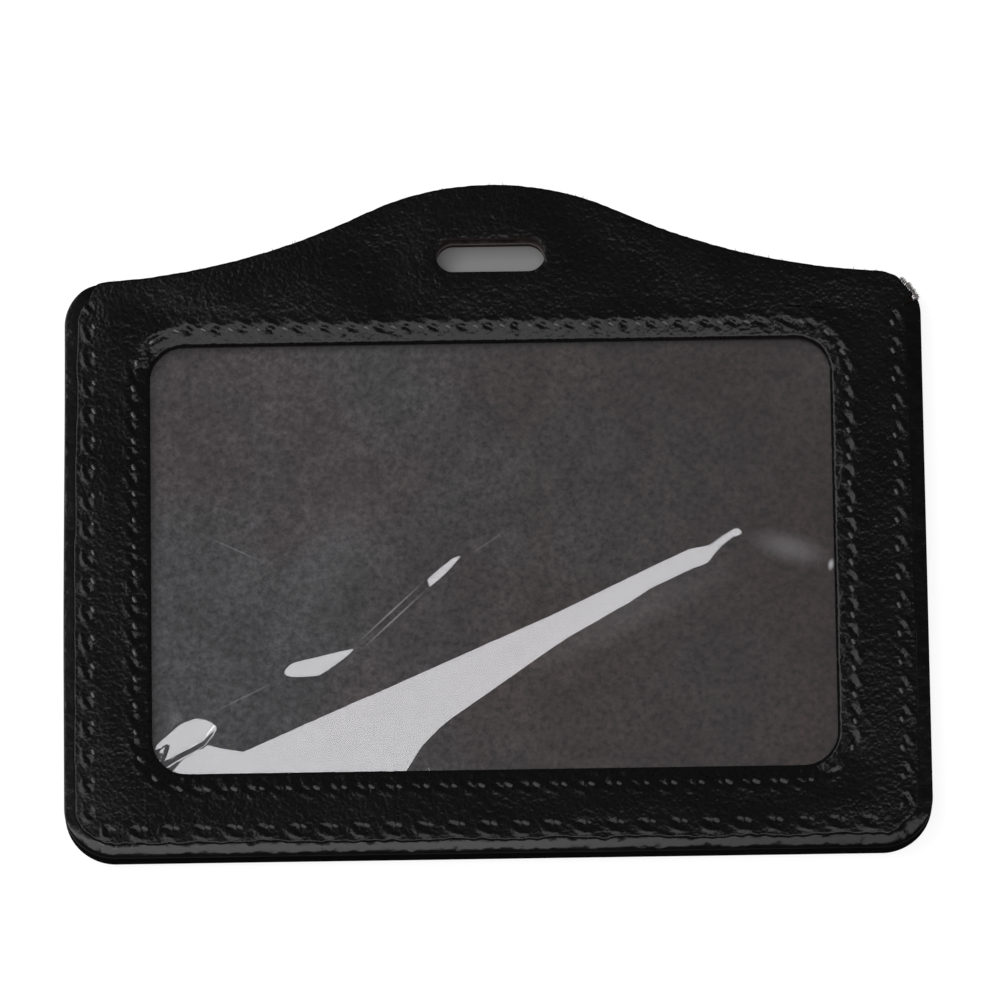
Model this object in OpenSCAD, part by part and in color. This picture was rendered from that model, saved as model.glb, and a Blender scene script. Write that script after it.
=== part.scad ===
// Horizontal ID badge wallet: two leather panels sewn round a card pocket that opens at the top,
// with a clear window in the front panel and a lanyard slot punched through the raised tab.
// Millimetres. The wallet lies on its back, its tab points to +Y, and its front faces +Z.

/* [Window] */
// Width of the window opening
window_w = 87; // [70:0.5:110]
// Height of the window opening
window_h = 56.4; // [40:0.1:75]
// Corner radius of the window opening
window_r = 4.5; // [3:0.5:8]
// Rounding of the leather lip along the window
lip_r = 0.5; // [0.3:0.05:0.8]

/* [Border] */
// Leather beside the window, out to the edge of the wallet
side_border = 11.5; // [10:0.1:16]
// Leather below the window, down to the edge of the wallet
bottom_border = 10.7; // [10:0.1:16]
// Radius of the two bottom corners
bottom_r = 6.5; // [5.5:0.5:10]
// Radius of the two shoulder corners
shoulder_r = 6; // [4.5:0.5:8]
// From the top edge of the window to the fold line, where the side seams end
fold_rise = 6.5; // [5.5:0.1:9]

/* [Tab] */
// From the fold line to the top of the crown
crown_rise = 14.6; // [11.6:0.1:18]
// Radius of the crown
crown_r = 38; // [30:0.5:50]
// Radius of the hollow curve between the crown and a shoulder
sweep_r = 90; // [75:1:130]
// Length of the lanyard slot, end to end
slot_l = 14; // [11:0.5:18]
// Width of the lanyard slot
slot_w = 4.5; // [3.5:0.1:6]
// From the fold line to the centre line of the slot
slot_rise = 5.1; // [4:0.1:7]

/* [Layers] */
// Thickness of the front and the back leather
leather_t = 1; // [0.8:0.05:1.5]
// Thickness of the stiffener board behind the pocket
board_t = 0.5; // [0.3:0.05:1]
// Thickness of the cloth lining of the pocket
lining_t = 0.25; // [0.2:0.05:0.5]
// Free height of the pocket under the window film
card_gap = 1.15; // [0.9:0.05:2]
// Thickness of the window film
film_t = 0.25; // [0.15:0.05:0.4]

/* [Pocket] */
// Width of the filler strip along the sides and the bottom
filler_w = 5; // [3.8:0.1:6]
// Corner radius at the bottom of the pocket
pocket_r = 2; // [1:0.5:4]
// Play between the window film and the filler
film_play = 0.3; // [0.1:0.05:0.6]
// Window film above the top edge of the window
film_tuck = 4.3; // [3.8:0.1:4.4]

/* [Seams] */
// From the edge of the wallet to the outer seam
edge_margin = 3.7; // [3.2:0.1:4.4]
// From the edge of the window to the window seam
window_margin = 2.4; // [2:0.1:3]
// Length of one stitch
stitch_pitch = 3.5; // [2.5:0.1:5]
// Thickness of the sewing thread
thread_d = 0.45; // [0.3:0.05:0.6]
// Width of the valley that a seam pulls into the leather
valley_w = 2.2; // [1.6:0.1:2.6]
// Depth of that valley
valley_d = 0.5; // [0.4:0.05:0.6]
// From the fold line down to the ends of the outer seam
seam_stop = 1.4; // [1.2:0.1:3]

/* [Edge coat] */
// Width of the coat that binds the sides and the bottom
coat_w = 1.5; // [1:0.1:1.8]
// Step from a leather face down to the coat
coat_step = 0.2; // [0.1:0.05:0.4]
// Rounding of the leather where it meets the coat
rim_r = 0.4; // [0.2:0.05:0.5]

/* [Hidden] */
$fn = 64;
// Facets on the outline's large circles, where a preview shows them
large_fn = 360;

// How far the shoulder has turned where the coat ends
coat_turn = 37;
// How far each stitch lies across its seam
stitch_slant = 8;
// Widest turn that one straight stitch makes in a corner
widest_chord = 45;
// The visible share of one stitch between its two needle holes
stitch_share = 0.9;
// Room beside the thread on the floor of its valley
thread_play = 0.08;
// Overrun of every cut past the face that it opens
over = 0.5;

// Levels across the wallet, from its bottom edge up
body_w = window_w + 2 * side_border;
body_h = bottom_border + window_h + fold_rise + crown_rise;
bottom_y = -body_h / 2;
window_y = bottom_y + bottom_border + window_h / 2;
fold_y = bottom_y + bottom_border + window_h + fold_rise;
crown_y = fold_y + crown_rise;
slot_y = fold_y + slot_rise;
seam_y = fold_y - seam_stop;

// Levels of the layers, from the back face up
board_z = leather_t;
lining_z = board_z + board_t;
pocket_z = lining_z + lining_t;
film_z = pocket_z + card_gap;
front_z = film_z + film_t;
top_z = front_z + leather_t;

// Centres of the arcs that make the outline
bottom_c = [body_w / 2 - bottom_r, bottom_y + bottom_r];
shoulder_c = [body_w / 2 - shoulder_r, fold_y - shoulder_r * sin(coat_turn)];
crown_c = [0, crown_y - crown_r];
// The hollow curve touches the crown and the shoulder, so its centre closes a triangle with theirs
crown_to_sweep = crown_r + sweep_r;
shoulder_to_sweep = shoulder_r + sweep_r;
crown_to_shoulder = norm(shoulder_c - crown_c);
sweep_turn = heading(crown_c, shoulder_c) + acos(
    (pow(crown_to_sweep, 2) + pow(crown_to_shoulder, 2) - pow(shoulder_to_sweep, 2))
    / (2 * crown_to_sweep * crown_to_shoulder)
);
sweep_c = crown_c + crown_to_sweep * [cos(sweep_turn), sin(sweep_turn)];
shoulder_turn = heading(shoulder_c, sweep_c);

// Path of the outer seam, a U with round bottom corners
seam_x = body_w / 2 - edge_margin;
seam_r = bottom_r - edge_margin;
seam_c = [seam_x - seam_r, bottom_y + edge_margin + seam_r];

// Path of the window seam, a rounded rectangle
loop_w = window_w + 2 * window_margin;
loop_h = window_h + 2 * window_margin;
loop_r = window_r + window_margin;

// Walls of the pocket, inside the filler
pocket_w = body_w - 2 * (coat_w + filler_w);
pocket_y = bottom_y + coat_w + filler_w;

// Round shoulders of a seam valley, tangent to the leather's face and down to the floor
valley_floor = thread_d + 2 * thread_play;
valley_r = (pow((valley_w - valley_floor) / 2, 2) + pow(valley_d, 2)) / (2 * valley_d);

// Round face of the edge coat, an arc over the height of the coat
coat_h = top_z - 2 * coat_step;
coat_r = (pow(coat_h / 2, 2) + pow(coat_w, 2)) / (2 * coat_w);

function heading(from, to) = atan2(to.y - from.y, to.x - from.x);

module both_sides() {
    children();
    mirror([1, 0]) children();
}

// Everything below the fold line, from the wallet's bottom edge up, in 2D
module below_fold() {
    translate([-body_w, fold_y - 2 * body_h]) square([2 * body_w, 2 * body_h]);
}

// The wallet's outline below the fold line, set in from its edge
module low_area(inset) {
    x = body_w / 2 - inset;
    y = bottom_y + inset;
    intersection() {
        below_fold();
        union() {
            polygon([
                [-bottom_c.x, y], [bottom_c.x, y],
                [x, bottom_c.y], [x, shoulder_c.y],
                [shoulder_c.x, shoulder_c.y + shoulder_r - inset],
                [-shoulder_c.x, shoulder_c.y + shoulder_r - inset],
                [-x, shoulder_c.y], [-x, bottom_c.y]
            ]);
            both_sides() {
                translate(bottom_c) circle(r = bottom_r - inset);
                translate(shoulder_c) circle(r = shoulder_r - inset);
            }
        }
    }
}

// The wallet's outline above the fold line: on each side a hollow curve joins shoulder to crown
module high_area() {
    both_sides()
        difference() {
            intersection() {
                union() {
                    polygon([crown_c, shoulder_c, sweep_c]);
                    translate(shoulder_c) circle(r = shoulder_r);
                    translate(crown_c) circle(r = crown_r, $fn = large_fn);
                }
                translate([0, fold_y]) square([body_w, body_h]);
            }
            translate(sweep_c) circle(r = sweep_r, $fn = large_fn);
        }
}

// One flat layer of the given outline
module layer(z, t) {
    translate([0, 0, z]) linear_extrude(t) children();
}

// One flat layer of the whole wallet inside its coat, with the lanyard slot in it
module panel(z, t) {
    difference() {
        layer(z, t) {
            low_area(coat_w);
            high_area();
        }
        slot_cut(z, t);
    }
}

// A box with round upright corners, centred on x and y
module rounded_block(w, h, r, t) {
    translate([-w / 2 + r, -h / 2, 0]) cube([w - 2 * r, h, t]);
    translate([-w / 2, -h / 2 + r, 0]) cube([w, h - 2 * r, t]);
    for (x = [-1, 1], y = [-1, 1])
        translate([x * (w / 2 - r), y * (h / 2 - r), 0]) cylinder(r = r, h = t);
}

// The lanyard slot, cut through everything between two levels
module slot_cut(z, t) {
    translate([0, slot_y, z - over]) {
        translate([-(slot_l - slot_w) / 2, -slot_w / 2, 0])
            cube([slot_l - slot_w, slot_w, t + 2 * over]);
        for (x = [-1, 1])
            translate([x * (slot_l - slot_w) / 2, 0, 0])
                cylinder(d = slot_w, h = t + 2 * over);
    }
}

// Sweeps a profile straight from a to b. The profile's +x points to the right of the way it goes.
module run(a, b) {
    length = norm(b - a);
    translate([a.x, a.y, 0])
        rotate([0, 0, heading(a, b) - 90])
            translate([0, length, 0])
                rotate([90, 0, 0])
                    linear_extrude(length) children();
}

// Sweeps a profile round a centre. The profile's +x points away from the centre.
module bend(c, r, from, to) {
    translate([c.x, c.y, 0])
        rotate([0, 0, from])
            rotate_extrude(angle = to - from)
                translate([r, 0]) children();
}

// Sweeps a profile along the outer seam
module along_outer_seam() {
    run([-seam_x, seam_y], [-seam_x, seam_c.y]) children();
    bend([-seam_c.x, seam_c.y], seam_r, 180, 270) children();
    run([-seam_c.x, seam_c.y - seam_r], [seam_c.x, seam_c.y - seam_r]) children();
    bend(seam_c, seam_r, 270, 360) children();
    run([seam_x, seam_c.y], [seam_x, seam_y]) children();
}

// Sweeps a profile along the coated edge, both shoulders included
module along_edge(inset) {
    r = bottom_r - inset;
    x = body_w / 2 - inset;
    y = bottom_y + inset;
    for (side = [0, 1]) mirror([side, 0, 0]) {
        bend(shoulder_c, shoulder_r - inset, 0, 90) children();
        run([x, bottom_c.y], [x, shoulder_c.y]) children();
        bend(bottom_c, r, 270, 360) children();
    }
    run([-bottom_c.x, y], [bottom_c.x, y]) children();
}

// Sweeps a profile along the window seam or the window's edge
module along_loop(w, h, r) {
    x = w / 2 - r;
    y = h / 2 - r;
    translate([0, window_y, 0]) {
        run([w / 2, -y], [w / 2, y]) children();
        run([x, h / 2], [-x, h / 2]) children();
        run([-w / 2, y], [-w / 2, -y]) children();
        run([-x, -h / 2], [x, -h / 2]) children();
        bend([x, y], r, 0, 90) children();
        bend([-x, y], r, 90, 180) children();
        bend([-x, -y], r, 180, 270) children();
        bend([x, -y], r, 270, 360) children();
    }
}

// What a seam pulls out of a leather face at y = 0: a flat floor between two round shoulders
module valley_profile() {
    difference() {
        translate([-valley_w / 2, -valley_d]) square([valley_w, valley_d + over]);
        for (x = [-1, 1]) translate([x * valley_w / 2, -valley_r]) circle(r = valley_r);
    }
}

// What rounds an outer edge that has its corner at the origin and its solid below and to the left
module rounding_profile(r) {
    difference() {
        translate([-r, -r]) square([r + over, r + over]);
        translate([-r, -r]) circle(r = r);
    }
}

// Both ends of an outer seam valley, closed by half a turn of its profile
module outer_valley() {
    along_outer_seam() valley_profile();
    for (x = [-1, 1])
        translate([x * seam_x, seam_y, 0])
            rotate_extrude()
                intersection() {
                    valley_profile();
                    translate([0, -valley_w]) square(2 * valley_w);
                }
}

// One stitch: the length of thread that shows between two needle holes, with round ends
module stitch(length) {
    r = thread_d / 2;
    half = length * stitch_share / 2;
    rotate([0, 90, 0])
        rotate_extrude($fn = 24)
            intersection() {
                translate([0, -half]) square([r, 2 * half]);
                union() {
                    translate([-r, r - half]) square([2 * r, 2 * (half - r)]);
                    for (y = [r - half, half - r]) translate([0, y]) circle(r = r, $fn = 24);
                }
            }
}

// Stitches in a straight row from a to b
module stitch_row(a, b) {
    count = max(1, round(norm(b - a) / stitch_pitch));
    for (i = [0:count - 1]) {
        p = a + (b - a) * (i + 0.5) / count;
        translate([p.x, p.y, 0])
            rotate([0, 0, heading(a, b) + stitch_slant])
                stitch(norm(b - a) / count);
    }
}

// Stitches round a corner, short enough to stay on the floor of the valley
module stitch_bend(c, r, from, to) {
    arc = r * (to - from) * PI / 180;
    count = max(ceil(arc / stitch_pitch), ceil((to - from) / widest_chord));
    half_turn = (to - from) / count / 2;
    middle_r = r * (1 + cos(half_turn)) / 2;
    for (i = [0:count - 1]) {
        a = from + (2 * i + 1) * half_turn;
        translate([c.x + middle_r * cos(a), c.y + middle_r * sin(a), 0])
            rotate([0, 0, a + 90 + stitch_slant])
                stitch(2 * r * sin(half_turn));
    }
}

module outer_stitches() {
    stitch_row([-seam_x, seam_y], [-seam_x, seam_c.y]);
    stitch_bend([-seam_c.x, seam_c.y], seam_r, 180, 270);
    stitch_row([-seam_c.x, seam_c.y - seam_r], [seam_c.x, seam_c.y - seam_r]);
    stitch_bend(seam_c, seam_r, 270, 360);
    stitch_row([seam_x, seam_c.y], [seam_x, seam_y]);
}

module window_stitches() {
    x = loop_w / 2 - loop_r;
    y = loop_h / 2 - loop_r;
    translate([0, window_y, 0]) {
        stitch_row([loop_w / 2, -y], [loop_w / 2, y]);
        stitch_row([x, loop_h / 2], [-x, loop_h / 2]);
        stitch_row([-loop_w / 2, y], [-loop_w / 2, -y]);
        stitch_row([-x, -loop_h / 2], [x, -loop_h / 2]);
        stitch_bend([x, y], loop_r, 0, 90);
        stitch_bend([-x, y], loop_r, 90, 180);
        stitch_bend([-x, -y], loop_r, 180, 270);
        stitch_bend([x, -y], loop_r, 270, 360);
    }
}

// Back leather, with its raised tab. The outer seam's valley is in its outer face.
module back_panel() {
    color("#1b1b1b")
        difference() {
            panel(0, leather_t);
            mirror([0, 0, 1]) outer_valley();
            mirror([0, 0, 1]) along_edge(coat_w) rounding_profile(rim_r);
        }
}

// Grey board that keeps the back and its tab flat
module stiffener_board() {
    color("#6f6a62") panel(board_z, board_t);
}

// Dark cloth behind the card, seen through the empty window
module pocket_lining() {
    color("#3c393a") panel(lining_z, lining_t);
}

// U-shaped strip between the two leathers that leaves the card its room
module edge_filler() {
    room_h = fold_y - pocket_y + pocket_r;
    color("#232323")
        difference() {
            layer(pocket_z, film_t + card_gap) low_area(coat_w);
            translate([0, pocket_y + room_h / 2, pocket_z - over])
                rounded_block(pocket_w, room_h, pocket_r, film_t + card_gap + 2 * over);
        }
}

// Clear film under the front leather, from wall to wall of the pocket
module window_film() {
    film_y = pocket_y + film_play;
    film_h = window_y + window_h / 2 + film_tuck - film_y;
    color("#c9cdd2", 0.35)
        translate([0, film_y + film_h / 2, film_z])
            rounded_block(pocket_w - 2 * film_play, film_h, pocket_r - film_play, film_t);
}

// Front leather below the fold line, with the window and both seams' valleys
module front_frame() {
    color("#1f1f1f")
        difference() {
            layer(front_z, leather_t) low_area(coat_w);
            translate([0, window_y, front_z - over])
                rounded_block(window_w, window_h, window_r, leather_t + 2 * over);
            translate([0, 0, top_z]) {
                outer_valley();
                along_loop(loop_w, loop_h, loop_r) valley_profile();
                along_loop(window_w, window_h, window_r) mirror([1, 0]) rounding_profile(lip_r);
                along_edge(coat_w) rounding_profile(rim_r);
            }
        }
}

// Front leather above the fold line, which lifts to let the card in
module front_tab() {
    color("#1f1f1f")
        difference() {
            layer(front_z, leather_t) high_area();
            slot_cut(front_z, leather_t);
        }
}

// Glossy coat round the cut edges of the layers, up to the fold line
module edge_coat() {
    color("#141414")
        intersection() {
            along_edge(coat_w)
                intersection() {
                    translate([coat_w - coat_r, top_z / 2]) circle(r = coat_r);
                    translate([0, coat_step]) square([coat_w, coat_h]);
                }
            layer(-over, top_z + 2 * over) below_fold();
        }
}

// Needle threads lie on the floors of the front leather's valleys
module outer_needle_thread() {
    color("#2a2a2a")
        translate([0, 0, top_z - valley_d + thread_d / 2]) outer_stitches();
}

module window_needle_thread() {
    color("#2a2a2a")
        translate([0, 0, top_z - valley_d + thread_d / 2]) window_stitches();
}

// The outer bobbin thread lies in the back leather's valley
module outer_bobbin_thread() {
    color("#2a2a2a")
        translate([0, 0, valley_d - thread_d / 2]) outer_stitches();
}

// The window's bobbin thread lies under the film, inside the pocket
module window_bobbin_thread() {
    color("#2a2a2a")
        translate([0, 0, film_z - thread_d / 2]) window_stitches();
}

back_panel();
stiffener_board();
pocket_lining();
edge_filler();
window_film();
front_frame();
front_tab();
edge_coat();
outer_needle_thread();
outer_bobbin_thread();
window_needle_thread();
window_bobbin_thread();
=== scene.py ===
# Looks of a badge wallet in black coated leather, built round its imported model.
import math
import random

import bmesh
import bpy
import numpy as np
from mathutils import Matrix, Vector


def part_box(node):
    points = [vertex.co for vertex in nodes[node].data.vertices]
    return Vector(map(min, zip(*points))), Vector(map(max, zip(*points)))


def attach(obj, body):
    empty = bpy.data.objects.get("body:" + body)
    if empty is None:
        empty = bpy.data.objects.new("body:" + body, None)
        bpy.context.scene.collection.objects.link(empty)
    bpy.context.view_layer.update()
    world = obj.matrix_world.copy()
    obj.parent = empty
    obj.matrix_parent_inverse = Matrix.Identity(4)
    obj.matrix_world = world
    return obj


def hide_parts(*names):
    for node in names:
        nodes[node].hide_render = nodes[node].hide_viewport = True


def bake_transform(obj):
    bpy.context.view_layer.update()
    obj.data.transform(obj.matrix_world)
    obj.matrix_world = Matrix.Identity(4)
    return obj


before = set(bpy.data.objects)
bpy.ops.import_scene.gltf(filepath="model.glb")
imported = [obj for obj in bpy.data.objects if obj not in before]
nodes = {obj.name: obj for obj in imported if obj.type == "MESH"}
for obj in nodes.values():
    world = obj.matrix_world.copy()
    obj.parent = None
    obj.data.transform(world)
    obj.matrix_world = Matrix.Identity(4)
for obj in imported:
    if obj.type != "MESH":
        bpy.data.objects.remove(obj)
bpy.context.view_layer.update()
mm = 0.001

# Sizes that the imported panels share. Widths, heights and levels come from the frame's boxes
wallet = {
    "cornerRadius": 6.5 * mm,      # both lower corners
    "shoulderRadius": 6.0 * mm,    # where a side turns into the top
    "shoulderRise": 69.99 * mm,    # centre of that turn above the bottom edge
    "crownRadius": 38.0 * mm,      # over the slot
    "sweepRadius": 90.0 * mm,      # hollow between crown and shoulder
    "windowWidth": 87.0 * mm,
    "windowHeight": 56.2 * mm,
    "windowRadius": 4.5 * mm,
    "windowRise": 10.9 * mm,       # bottom border under the window
    "windowShift": -0.3 * mm,      # how far off the middle it was cut
    "slotLength": 14.0 * mm,
    "slotWidth": 4.5 * mm,
    "slotDrop": 9.5 * mm,          # slot's centre under the top of the crown
    "sidePull": 0.35 * mm,         # how far the left side leans in at its top
    "pullSpan": (-20 * mm, 27 * mm),    # heights between which it turns in
    "step": 0.36 * mm,             # between two stations along the outline
}


def levels(node):
    low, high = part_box(node)
    return low.z, high.z


backLow, backHigh = levels("back_panel")
frontLow, frontHigh = levels("front_frame")
filmLow, filmHigh = levels("window_film")
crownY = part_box("back_panel")[1].y
coatLow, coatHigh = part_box("edge_coat")
sideX, bottomY = coatHigh.x, coatLow.y

windowX = wallet["windowWidth"] / 2
windowLow = bottomY + wallet["windowRise"]
windowHigh = windowLow + wallet["windowHeight"]
windowY = (windowLow + windowHigh) / 2
slotY = crownY - wallet["slotDrop"]
cornerX, cornerY = sideX - wallet["cornerRadius"], bottomY + wallet["cornerRadius"]
shoulderX, shoulderY = sideX - wallet["shoulderRadius"], bottomY + wallet["shoulderRise"]


def smooth(value, low, high):
    share = np.clip((value - low) / (high - low), 0, 1)
    return share * share * (3 - 2 * share)


# Stations: matching points on the outline and round the window

def arcStations(centre, radius, start, end, count, hollow=False, last=False):
    angle = np.linspace(start, end, count, endpoint=last)
    out = np.stack([np.cos(angle), np.sin(angle)], axis=1)
    return np.array(centre) + radius * out, -out if hollow else out


def lineStations(start, end, count, last=False):
    share = np.linspace(0, 1, count, endpoint=last)[:, None]
    start, end = np.array(start), np.array(end)
    along = (end - start) / np.linalg.norm(end - start)
    return start + share * (end - start), np.tile([along[1], -along[0]], (count, 1))


def mirrored(runs):
    # Right half from the bottom's middle to the top's middle, then its mirror image back down
    points, outs = (np.concatenate([run[k] for run in runs]) for k in (0, 1))
    flip = np.array([-1, 1])
    return np.concatenate([points, points[-2:0:-1] * flip]), np.concatenate([outs, outs[-2:0:-1] * flip])


def sweepCentre():
    # Centre of the hollow that touches both the crown and the shoulder
    crown = np.array([0, crownY - wallet["crownRadius"]])
    shoulder = np.array([shoulderX, shoulderY])
    toCrown = wallet["crownRadius"] + wallet["sweepRadius"]
    toShoulder = wallet["shoulderRadius"] + wallet["sweepRadius"]
    apart = np.linalg.norm(shoulder - crown)
    along = (shoulder - crown) / apart
    share = (toCrown ** 2 - toShoulder ** 2 + apart ** 2) / (2 * apart)
    rise = math.sqrt(toCrown ** 2 - share ** 2)
    return crown + along * share + np.array([-along[1], along[0]]) * rise


def matchingLoops():
    step = wallet["step"]
    quarter = math.pi / 2
    hub = sweepCentre()
    crown = (0, crownY - wallet["crownRadius"])
    shoulderTurn = math.atan2(hub[1] - shoulderY, hub[0] - shoulderX)
    sweepFrom = math.atan2(shoulderY - hub[1], shoulderX - hub[0])
    sweepTo = math.atan2(crown[1] - hub[1], crown[0] - hub[0])
    crownFrom = math.atan2(hub[1] - crown[1], hub[0] - crown[0])
    bottomCount = round(cornerX / step)
    cornerCount = round(wallet["cornerRadius"] * quarter / step)
    sideCount = round((shoulderY - cornerY) / step)
    sweepCount = round(wallet["sweepRadius"] * (sweepFrom - sweepTo) / step)
    crownCount = round(wallet["crownRadius"] * (quarter - crownFrom) / step)
    outline = mirrored([
        lineStations((0, bottomY), (cornerX, bottomY), bottomCount),
        arcStations((cornerX, cornerY), wallet["cornerRadius"], -quarter, 0, cornerCount),
        lineStations((sideX, cornerY), (sideX, shoulderY), sideCount),
        arcStations((shoulderX, shoulderY), wallet["shoulderRadius"], 0, shoulderTurn, cornerCount),
        arcStations(hub, wallet["sweepRadius"], sweepFrom, sweepTo, sweepCount, hollow=True),
        arcStations(crown, wallet["crownRadius"], crownFrom, quarter, crownCount, last=True),
    ])
    turn = wallet["windowRadius"]
    innerX = windowX - turn
    window = mirrored([
        lineStations((0, windowLow), (innerX, windowLow), bottomCount),
        arcStations((innerX, windowLow + turn), turn, -quarter, 0, cornerCount),
        lineStations((windowX, windowLow + turn), (windowX, windowHigh - turn), sideCount),
        arcStations((innerX, windowHigh - turn), turn, 0, quarter, cornerCount),
        lineStations((innerX, windowHigh), (0, windowHigh), sweepCount + crownCount, last=True),
    ])
    points, outs = outline
    pulled = wallet["sidePull"] * smooth(points[:, 1], *wallet["pullSpan"]) * smooth(-points[:, 0], 0, sideX)
    points = points + np.stack([pulled, np.zeros_like(pulled)], axis=1)
    return (points, outs), (window[0] + np.array([wallet["windowShift"], 0]), window[1])


def numbered(points, pitch):
    # Stitch numbers along a closed row of stations, counted from the middle of the bottom edge
    steps = np.linalg.norm(np.roll(points, -1, axis=0) - points, axis=1) / pitch
    return np.concatenate([[0], np.cumsum(steps)[:-1]]), steps.sum()


def shoulderAngle():
    # Degrees round either shoulder: 0 along the sides, 90 and more along the raw top edge
    angle = np.degrees(np.arctan2(outline[:, 1] - shoulderY, np.abs(outline[:, 0]) - shoulderX))
    return np.where(outline[:, 1] > shoulderY, angle, 0)


def sideShare(leftSpan, rightSpan):
    # 1 along the sides and the bottom, falling to 0 within a span of degrees round each shoulder
    angle = shoulderAngle()
    spans = [np.where(outline[:, 0] < 0, leftSpan[k], rightSpan[k]) for k in (0, 1)]
    return 1 - smooth(angle, spans[0], spans[1])


(outline, outlineOut), (window, windowOut) = matchingLoops()
stationCount = len(outline)
print("stations", stationCount)


# Relief in the leather

outerSeam = {
    "margin": 3.7 * mm,        # from the outline
    "pitch": (3.74 * mm, 4.02 * mm),    # along the sides and along the bottom
    "start": -0.36,            # part of a pitch that the row is shifted by
    "lean": 25,                # degrees that the stitches slant off the seam's line
    "hole": 0.28,              # where each needle hole lies off its stitch's middle, in pitches
    "aside": 0.4 * mm,         # and how far outwards of the row, along the sides
    "pit": 0.17 * mm,          # depth of each needle hole
    "pitSize": (0.32 * mm, 0.22 * mm),
    "pucker": 0.08 * mm,       # curved swelling beside each hole
    "puckerGap": 1.15 * mm,
    "puckerSize": (1.1 * mm, 0.32 * mm),
    "puckerBend": 250,         # its curve, in 1/m
    "reach": (62, 20),         # degrees round the left and the right shoulder that the row goes on to
    "fade": (14, 12),          # and over which its marks fade out there
    "crest": -0.12 * mm,       # how far its stitches lie below the leather's plain face
}
windowSeam = dict(outerSeam, margin=2.2 * mm, pitch=3.5 * mm, hole=0.45, aside=0, pit=0.16 * mm,
                  pitSize=(0.55 * mm, 0.25 * mm), pucker=0.05 * mm, puckerGap=0.8 * mm, puckerBend=0,
                  crest=-0.13 * mm)
lip = {
    "start": 2.9 * mm,         # from the window's edge
    "drop": 0.36 * mm,         # how far it falls to the window
    "bend": 0.12,              # how gently that fall starts
    "ripple": 0.018 * mm,
    "ripples": (1.6 * mm, 17, 14),    # their length, seed and count
    "rippled": (1.5 * mm, 4 * mm),    # they die out between these, from the window's edge
    "calm": (3 * mm, 6 * mm),  # and the leather's other relief grows from half to full
    "round": 0.5 * mm,         # rounding at the very edge
    "roundDrop": 0.2 * mm,
    "flatter": (14 * mm, 40 * mm),    # the top lip flattens out between these
    "flatterTop": 2 * mm,      # this near its edge
    "flatterSide": 4 * mm,     # and the right one this near its own
    "flattened": 0.6,
}
coat = {
    "width": 1.5 * mm,
    "left": (50, 78),          # degrees round the left shoulder, from full width to none
    "right": (16, 23),         # and round the right one
    "foot": 0.45 * mm,         # how much wider it is along the bottom
    "broader": 0.25 * mm,      # and by how much its width changes up the sides and to the right
    "upSpan": (0, 20 * mm),    # between these heights
    "rightSpan": (40 * mm, 55 * mm),    # and these places across
    "wander": ((9 * mm, 21), (3 * mm, 22)),    # length and seed of its long and its short waves
    "lap": 0.86,               # share of its width that the leather stays back
}
slack = {
    "height": 0.06 * mm,       # slow rise and fall of the leather
    "waves": (22 * mm, 11),    # its length and seed
    "calm": 6 * mm,            # it dies out this near the cut edge
    "settle": 0.22 * mm,       # how far the frame sinks beside the window
    "settleBelow": 0.36 * mm,
    "settleSpan": (-2 * mm, 10 * mm),    # how far that reaches from the window's edge
    "belowSpan": (1 * mm, 6 * mm),    # under its lower edge, all of settleBelow; over it, none
}


def roundedBox(x, y, centreY, halfX, halfY, radius):
    # Signed distance to a rounded rectangle, positive outside
    qx = np.abs(x) - (halfX - radius)
    qy = np.abs(y - centreY) - (halfY - radius)
    outside = np.hypot(np.maximum(qx, 0), np.maximum(qy, 0))
    return outside + np.minimum(np.maximum(qx, qy), 0) - radius


def fromWindow(x, y):
    return roundedBox(x - wallet["windowShift"], y, windowY, windowX, wallet["windowHeight"] / 2,
                      wallet["windowRadius"])


def fromSlot(x, y):
    return roundedBox(x, y, slotY, wallet["slotLength"] / 2, wallet["slotWidth"] / 2, wallet["slotWidth"] / 2)


def waves(x, y, length, seed, count=9):
    # Smooth random rise and fall between about -1 and 1
    pick = random.Random(seed)
    total = np.zeros_like(x)
    for _ in range(count):
        heading, phase = pick.uniform(0, math.pi), pick.uniform(0, 2 * math.pi)
        pull = 2 * math.pi / (length * pick.uniform(0.6, 1.5))
        total += np.sin((x * math.cos(heading) + y * math.sin(heading)) * pull + phase)
    return total / math.sqrt(count)


def outerRow():
    # Follows the outline, but runs straight on where the outline turns into the top
    row = outline - outlineOut * outerSeam["margin"]
    angle = shoulderAngle()
    on = (angle > 0) & (angle < outerSeam["reach"][0])
    reach = wallet["shoulderRadius"] - outerSeam["margin"]
    side = np.sign(outline[on, 0])
    row[on, 0] = side * (shoulderX + reach) + np.where(side < 0, wallet["sidePull"], 0)
    row[on, 1] = shoulderY + reach * np.tan(np.radians(angle[on]))
    return row


def placeAt(seam, number):
    # Point on the seam's line, and its heading there
    def at(where):
        return [np.interp(where, seam["number"], seam["row"][:, k], period=seam["total"]) for k in (0, 1)]
    (x, y), (x2, y2) = at(number - 0.05), at(number + 0.05)
    return (x + x2) / 2, (y + y2) / 2, np.arctan2(y2 - y, x2 - x)


def numberSeam(seam, row, pitch):
    number, total = numbered(row, pitch)
    seam.update(row=row, total=total, number=number)
    seam["across"] = np.cos(2 * placeAt(seam, number)[2])    # 1 along the bottom, -1 along the sides


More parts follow.
